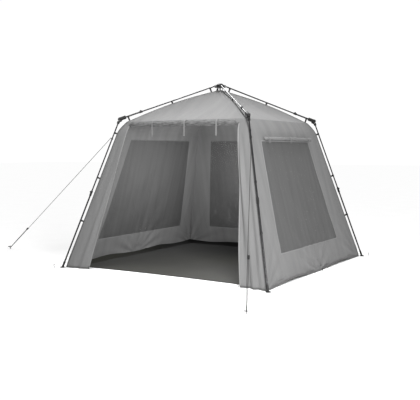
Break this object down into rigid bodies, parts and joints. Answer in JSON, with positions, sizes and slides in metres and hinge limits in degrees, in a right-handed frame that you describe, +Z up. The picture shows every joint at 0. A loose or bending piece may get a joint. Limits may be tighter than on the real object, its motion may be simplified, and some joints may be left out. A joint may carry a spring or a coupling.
{
  "type": "screen house",
  "caption": "square shelter with a folding umbrella frame outside its cloth, mesh windows, a rolled-up door and a groundsheet",
  "frame": {"origin": "middle of the footprint on the ground", "axes": "+Z up, the door faces -Y, +X to the right seen from the door"},
  "size_m": [4.8948, 3.8349, 2.269],
  "materials": {
    "shelter_cloth": "matt plain-woven polyester",
    "window_mesh": "fine knitted mesh",
    "groundsheet_cloth": "coated woven sheet",
    "webbing": "woven tape",
    "guy_cord": "braided cord",
    "frame_tube": "satin powder coat",
    "frame_plastic": "moulded nylon",
    "lock_plastic": "moulded button",
    "pin_steel": "zinc-plated rivet",
    "peg_steel": "dark wire"
  },
  "bodies": {
    "shelter": {"hub_body": "frame_plastic", "hub_cap": "frame_plastic", "hub_pins": "pin_steel", "roof_canopy": "shelter_cloth", "front_wall": "shelter_cloth", "right_wall": "shelter_cloth", "back_wall": "shelter_cloth", "left_wall": "shelter_cloth", "mesh_windows": "window_mesh", "groundsheet": "groundsheet_cloth", "door_roll": "shelter_cloth", "window_roll": "shelter_cloth", "tie_straps": "webbing", "pole_clips": "frame_plastic", "clip_straps": "webbing", "ground_pegs": "peg_steel"},
    "roof_pole_front_left": {"roof_pole_front_left": "frame_tube"},
    "roof_sleeve_front_left": {"roof_sleeve_front_left": "frame_tube", "elbow_housing_front_left": "frame_plastic"},
    "roof_lock_front_left": {"roof_lock_front_left": "lock_plastic"},
    "leg_pole_front_left": {"elbow_knuckle_front_left": "frame_plastic", "leg_pole_front_left": "frame_tube", "guy_line_front_left": "guy_cord", "guy_set_front_left": "frame_plastic"},
    "leg_sleeve_front_left": {"leg_sleeve_front_left": "frame_tube", "leg_collar_front_left": "frame_plastic", "foot_front_left": "frame_plastic"},
    "leg_lock_front_left": {"leg_lock_front_left": "lock_plastic"},
    "roof_pole_front_right": {"roof_pole_front_right": "frame_tube"},
    "roof_sleeve_front_right": {"roof_sleeve_front_right": "frame_tube", "elbow_housing_front_right": "frame_plastic"},
    "roof_lock_front_right": {"roof_lock_front_right": "lock_plastic"},
    "leg_pole_front_right": {"elbow_knuckle_front_right": "frame_plastic", "leg_pole_front_right": "frame_tube", "guy_line_front_right": "guy_cord", "guy_set_front_right": "frame_plastic"},
    "leg_sleeve_front_right": {"leg_sleeve_front_right": "frame_tube", "leg_collar_front_right": "frame_plastic", "foot_front_right": "frame_plastic"},
    "leg_lock_front_right": {"leg_lock_front_right": "lock_plastic"},
    "roof_pole_back_right": {"roof_pole_back_right": "frame_tube"},
    "roof_sleeve_back_right": {"roof_sleeve_back_right": "frame_tube", "elbow_housing_back_right": "frame_plastic"},
    "roof_lock_back_right": {"roof_lock_back_right": "lock_plastic"},
    "leg_pole_back_right": {"elbow_knuckle_back_right": "frame_plastic", "leg_pole_back_right": "frame_tube"},
    "leg_sleeve_back_right": {"leg_sleeve_back_right": "frame_tube", "leg_collar_back_right": "frame_plastic", "foot_back_right": "frame_plastic"},
    "leg_lock_back_right": {"leg_lock_back_right": "lock_plastic"},
    "roof_pole_back_left": {"roof_pole_back_left": "frame_tube"},
    "roof_sleeve_back_left": {"roof_sleeve_back_left": "frame_tube", "elbow_housing_back_left": "frame_plastic"},
    "roof_lock_back_left": {"roof_lock_back_left": "lock_plastic"},
    "leg_pole_back_left": {"elbow_knuckle_back_left": "frame_plastic", "leg_pole_back_left": "frame_tube"},
    "leg_sleeve_back_left": {"leg_sleeve_back_left": "frame_tube", "leg_collar_back_left": "frame_plastic", "foot_back_left": "frame_plastic"},
    "leg_lock_back_left": {"leg_lock_back_left": "lock_plastic"}
  },
  "joints": [
    {"name": "hub_fold_front_left", "type": "hinge", "parent": "shelter", "child": "roof_pole_front_left", "pos_m": [-0.04243, -0.04243, 2.235], "axis": [-0.7071, 0.7071, 0], "range_deg": [0, 108], "deforming": ["roof_canopy", "front_wall", "right_wall", "back_wall", "left_wall", "mesh_windows", "door_roll", "window_roll", "tie_straps", "pole_clips", "clip_straps"]},
    {"name": "roof_slide_front_left", "type": "slide", "parent": "roof_pole_front_left", "child": "roof_sleeve_front_left", "axis": [0.6663, 0.6663, 0.3349], "range_m": [0, 0.18]},
    {"name": "roof_press_front_left", "type": "slide", "parent": "roof_sleeve_front_left", "child": "roof_lock_front_left", "axis": [0.2368, 0.2368, -0.9423], "range_m": [0, 0.003], "stiffness_N_per_m": 600, "springref_m": -0.003},
    {"name": "elbow_fold_front_left", "type": "hinge", "parent": "roof_sleeve_front_left", "child": "leg_pole_front_left", "pos_m": [-0.88413, -0.88413, 1.78862], "axis": [0.7071, -0.7071, 0], "range_deg": [0, 129.6]},
    {"name": "leg_slide_front_left", "type": "slide", "parent": "leg_pole_front_left", "child": "leg_sleeve_front_left", "axis": [0.2596, 0.2596, 0.9302], "range_m": [0, 0.65]},
    {"name": "leg_press_front_left", "type": "slide", "parent": "leg_sleeve_front_left", "child": "leg_lock_front_left", "axis": [0.6577, 0.6577, -0.3671], "range_m": [0, 0.003], "stiffness_N_per_m": 600, "springref_m": -0.003},
    {"name": "hub_fold_front_right", "type": "hinge", "parent": "shelter", "child": "roof_pole_front_right", "pos_m": [0.04243, -0.04243, 2.235], "axis": [-0.7071, -0.7071, 0], "range_deg": [0, 108]},
    {"name": "roof_slide_front_right", "type": "slide", "parent": "roof_pole_front_right", "child": "roof_sleeve_front_right", "axis": [-0.6663, 0.6663, 0.3349], "range_m": [0, 0.18]},
    {"name": "roof_press_front_right", "type": "slide", "parent": "roof_sleeve_front_right", "child": "roof_lock_front_right", "axis": [-0.2368, 0.2368, -0.9423], "range_m": [0, 0.003], "stiffness_N_per_m": 600, "springref_m": -0.003},
    {"name": "elbow_fold_front_right", "type": "hinge", "parent": "roof_sleeve_front_right", "child": "leg_pole_front_right", "pos_m": [0.88413, -0.88413, 1.78862], "axis": [0.7071, 0.7071, 0], "range_deg": [0, 129.6]},
    {"name": "leg_slide_front_right", "type": "slide", "parent": "leg_pole_front_right", "child": "leg_sleeve_front_right", "axis": [-0.2596, 0.2596, 0.9302], "range_m": [0, 0.65]},
    {"name": "leg_press_front_right", "type": "slide", "parent": "leg_sleeve_front_right", "child": "leg_lock_front_right", "axis": [-0.6577, 0.6577, -0.3671], "range_m": [0, 0.003], "stiffness_N_per_m": 600, "springref_m": -0.003},
    {"name": "hub_fold_back_right", "type": "hinge", "parent": "shelter", "child": "roof_pole_back_right", "pos_m": [0.04243, 0.04243, 2.235], "axis": [0.7071, -0.7071, 0], "range_deg": [0, 108]},
    {"name": "roof_slide_back_right", "type": "slide", "parent": "roof_pole_back_right", "child": "roof_sleeve_back_right", "axis": [-0.6663, -0.6663, 0.3349], "range_m": [0, 0.18]},
    {"name": "roof_press_back_right", "type": "slide", "parent": "roof_sleeve_back_right", "child": "roof_lock_back_right", "axis": [-0.2368, -0.2368, -0.9423], "range_m": [0, 0.003], "stiffness_N_per_m": 600, "springref_m": -0.003},
    {"name": "elbow_fold_back_right", "type": "hinge", "parent": "roof_sleeve_back_right", "child": "leg_pole_back_right", "pos_m": [0.88413, 0.88413, 1.78862], "axis": [-0.7071, 0.7071, 0], "range_deg": [0, 129.6]},
    {"name": "leg_slide_back_right", "type": "slide", "parent": "leg_pole_back_right", "child": "leg_sleeve_back_right", "axis": [-0.2596, -0.2596, 0.9302], "range_m": [0, 0.65]},
    {"name": "leg_press_back_right", "type": "slide", "parent": "leg_sleeve_back_right", "child": "leg_lock_back_right", "axis": [-0.6577, -0.6577, -0.3671], "range_m": [0, 0.003], "stiffness_N_per_m": 600, "springref_m": -0.003},
    {"name": "hub_fold_back_left", "type": "hinge", "parent": "shelter", "child": "roof_pole_back_left", "pos_m": [-0.04243, 0.04243, 2.235], "axis": [0.7071, 0.7071, 0], "range_deg": [0, 108]},
    {"name": "roof_slide_back_left", "type": "slide", "parent": "roof_pole_back_left", "child": "roof_sleeve_back_left", "axis": [0.6663, -0.6663, 0.3349], "range_m": [0, 0.18]},
    {"name": "roof_press_back_left", "type": "slide", "parent": "roof_sleeve_back_left", "child": "roof_lock_back_left", "axis": [0.2368, -0.2368, -0.9423], "range_m": [0, 0.003], "stiffness_N_per_m": 600, "springref_m": -0.003},
    {"name": "elbow_fold_back_left", "type": "hinge", "parent": "roof_sleeve_back_left", "child": "leg_pole_back_left", "pos_m": [-0.88413, 0.88413, 1.78862], "axis": [-0.7071, -0.7071, 0], "range_deg": [0, 129.6]},
    {"name": "leg_slide_back_left", "type": "slide", "parent": "leg_pole_back_left", "child": "leg_sleeve_back_left", "axis": [0.2596, -0.2596, 0.9302], "range_m": [0, 0.65]},
    {"name": "leg_press_back_left", "type": "slide", "parent": "leg_sleeve_back_left", "child": "leg_lock_back_left", "axis": [0.6577, -0.6577, -0.3671], "range_m": [0, 0.003], "stiffness_N_per_m": 600, "springref_m": -0.003}
  ],
  "couplings": [
    {"joint": "elbow_fold_front_left", "follows": "hub_fold_front_left", "ratio": 1.2},
    {"joint": "hub_fold_front_right", "follows": "hub_fold_front_left", "ratio": 1},
    {"joint": "elbow_fold_front_right", "follows": "hub_fold_front_left", "ratio": 1.2},
    {"joint": "hub_fold_back_right", "follows": "hub_fold_front_left", "ratio": 1},
    {"joint": "elbow_fold_back_right", "follows": "hub_fold_front_left", "ratio": 1.2},
    {"joint": "hub_fold_back_left", "follows": "hub_fold_front_left", "ratio": 1},
    {"joint": "elbow_fold_back_left", "follows": "hub_fold_front_left", "ratio": 1.2}
  ]
}
